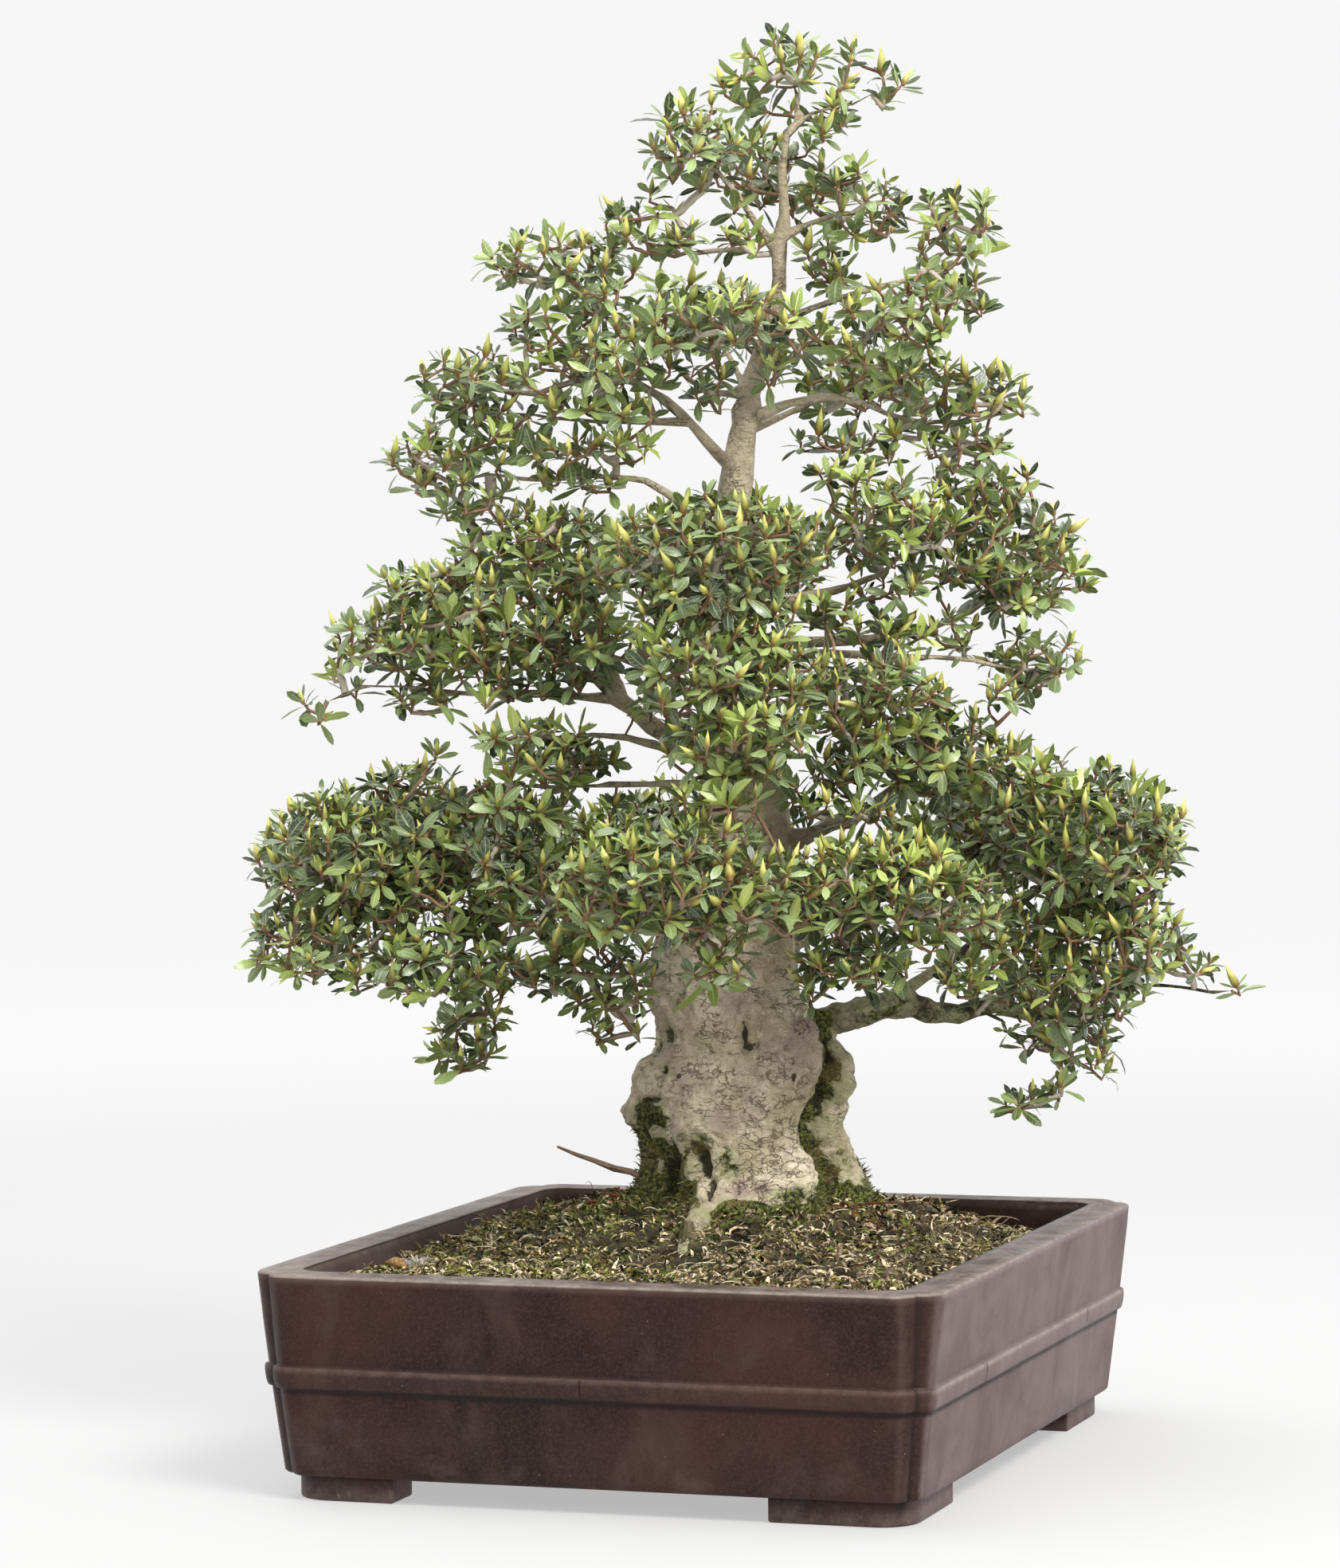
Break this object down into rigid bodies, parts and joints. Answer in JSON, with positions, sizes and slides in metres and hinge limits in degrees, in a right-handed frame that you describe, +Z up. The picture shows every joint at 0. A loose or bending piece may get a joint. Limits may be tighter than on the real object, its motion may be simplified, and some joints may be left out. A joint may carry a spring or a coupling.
{
  "type": "satsuki azalea bonsai",
  "caption": "Satsuki azalea trained as an informal upright bonsai with tiered foliage pads and a flared trunk, standing in a rectangular unglazed clay pot on feet.",
  "frame": {"origin": "middle of the plant's box, at the height of the surface that the pot's feet stand on", "axes": "+Z up; X along the pot's front, +X to the right seen from the front; +Y to the back of the pot"},
  "size_m": [0.5608, 0.4596, 0.8372],
  "materials": {
    "clay": "satin",
    "mesh": "matte",
    "wire": "satin",
    "soil": "matte",
    "moss": "matte",
    "bark": "matte",
    "leaf": "satin"
  },
  "bodies": {
    "root": {"drain_screen_back": "mesh", "drain_screen_front": "mesh", "foliage_apex": "leaf", "foliage_apex_back": "leaf", "foliage_apex_left": "leaf", "foliage_apex_tuft": "leaf", "foliage_crown_back": "leaf", "foliage_crown_front": "leaf", "foliage_crown_right": "leaf", "foliage_low_back": "leaf", "foliage_low_front": "leaf", "foliage_low_left_back": "leaf", "foliage_low_left_inner": "leaf", "foliage_low_left_outer": "leaf", "foliage_low_right_back": "leaf", "foliage_low_right_front": "leaf", "foliage_low_right_hanging": "leaf", "foliage_low_right_outer": "leaf", "foliage_low_right_tip": "leaf", "foliage_lower_front": "leaf", "foliage_lower_left": "leaf", "foliage_lower_right": "leaf", "foliage_middle_back": "leaf", "foliage_middle_front": "leaf", "foliage_middle_front_low": "leaf", "foliage_middle_left": "leaf", "foliage_middle_left_low": "leaf", "foliage_middle_left_outer": "leaf", "foliage_middle_left_tip": "leaf", "foliage_middle_right": "leaf", "foliage_middle_right_low": "leaf", "foliage_middle_right_outer": "leaf", "foliage_shoulder_left": "leaf", "foliage_shoulder_left_inner": "leaf", "foliage_shoulder_left_low": "leaf", "foliage_shoulder_left_outer": "leaf", "foliage_shoulder_left_under": "leaf", "foliage_shoulder_right": "leaf", "foliage_shoulder_right_back": "leaf", "foliage_shoulder_right_inner": "leaf", "foliage_trunk_left": "leaf", "moss": "moss", "pot": "clay", "screen_clip_back": "wire", "screen_clip_front": "wire", "soil": "soil", "trunk_and_branches": "bark"}
  },
  "joints": []
}
